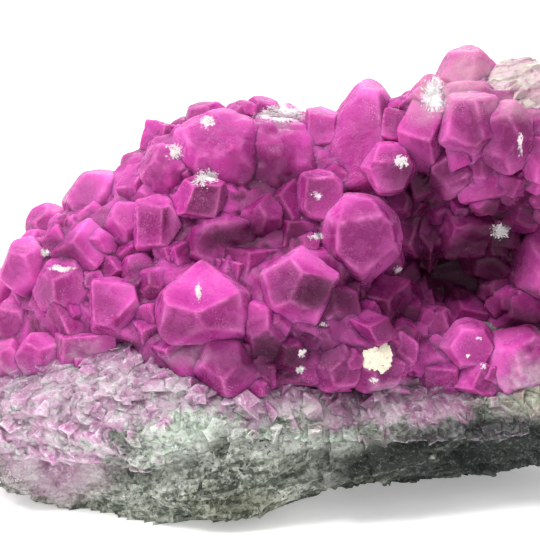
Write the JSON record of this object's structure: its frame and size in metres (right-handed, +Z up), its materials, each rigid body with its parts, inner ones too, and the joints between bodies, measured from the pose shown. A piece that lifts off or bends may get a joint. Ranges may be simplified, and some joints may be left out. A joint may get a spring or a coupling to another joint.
{
  "type": "cobaltoan calcite specimen",
  "caption": "Mineral specimen: magenta calcite crystals over a pale calcite seam on grey broken host rock, resting on its flat underside.",
  "frame": {"origin": "middle of the flat underside, on the surface that the specimen rests on", "axes": "+Z up, +X along the specimen's length to the right as seen from its crystal side, crystal side facing -Y"},
  "size_m": [0.1183, 0.0575, 0.0702],
  "materials": {
    "host_rock": "rough granular grey-green rock with white grains and black specks",
    "pale_calcite": "sugary pale lilac and white calcite",
    "magenta_calcite": "translucent frosted magenta calcite with paler edges",
    "cream_crust": "powdery cream crust"
  },
  "bodies": {
    "root": {"host_rock": "host_rock", "pale_calcite_seam": "pale_calcite", "crystal_druse": "magenta_calcite", "cream_patch": "cream_crust"}
  },
  "joints": []
}
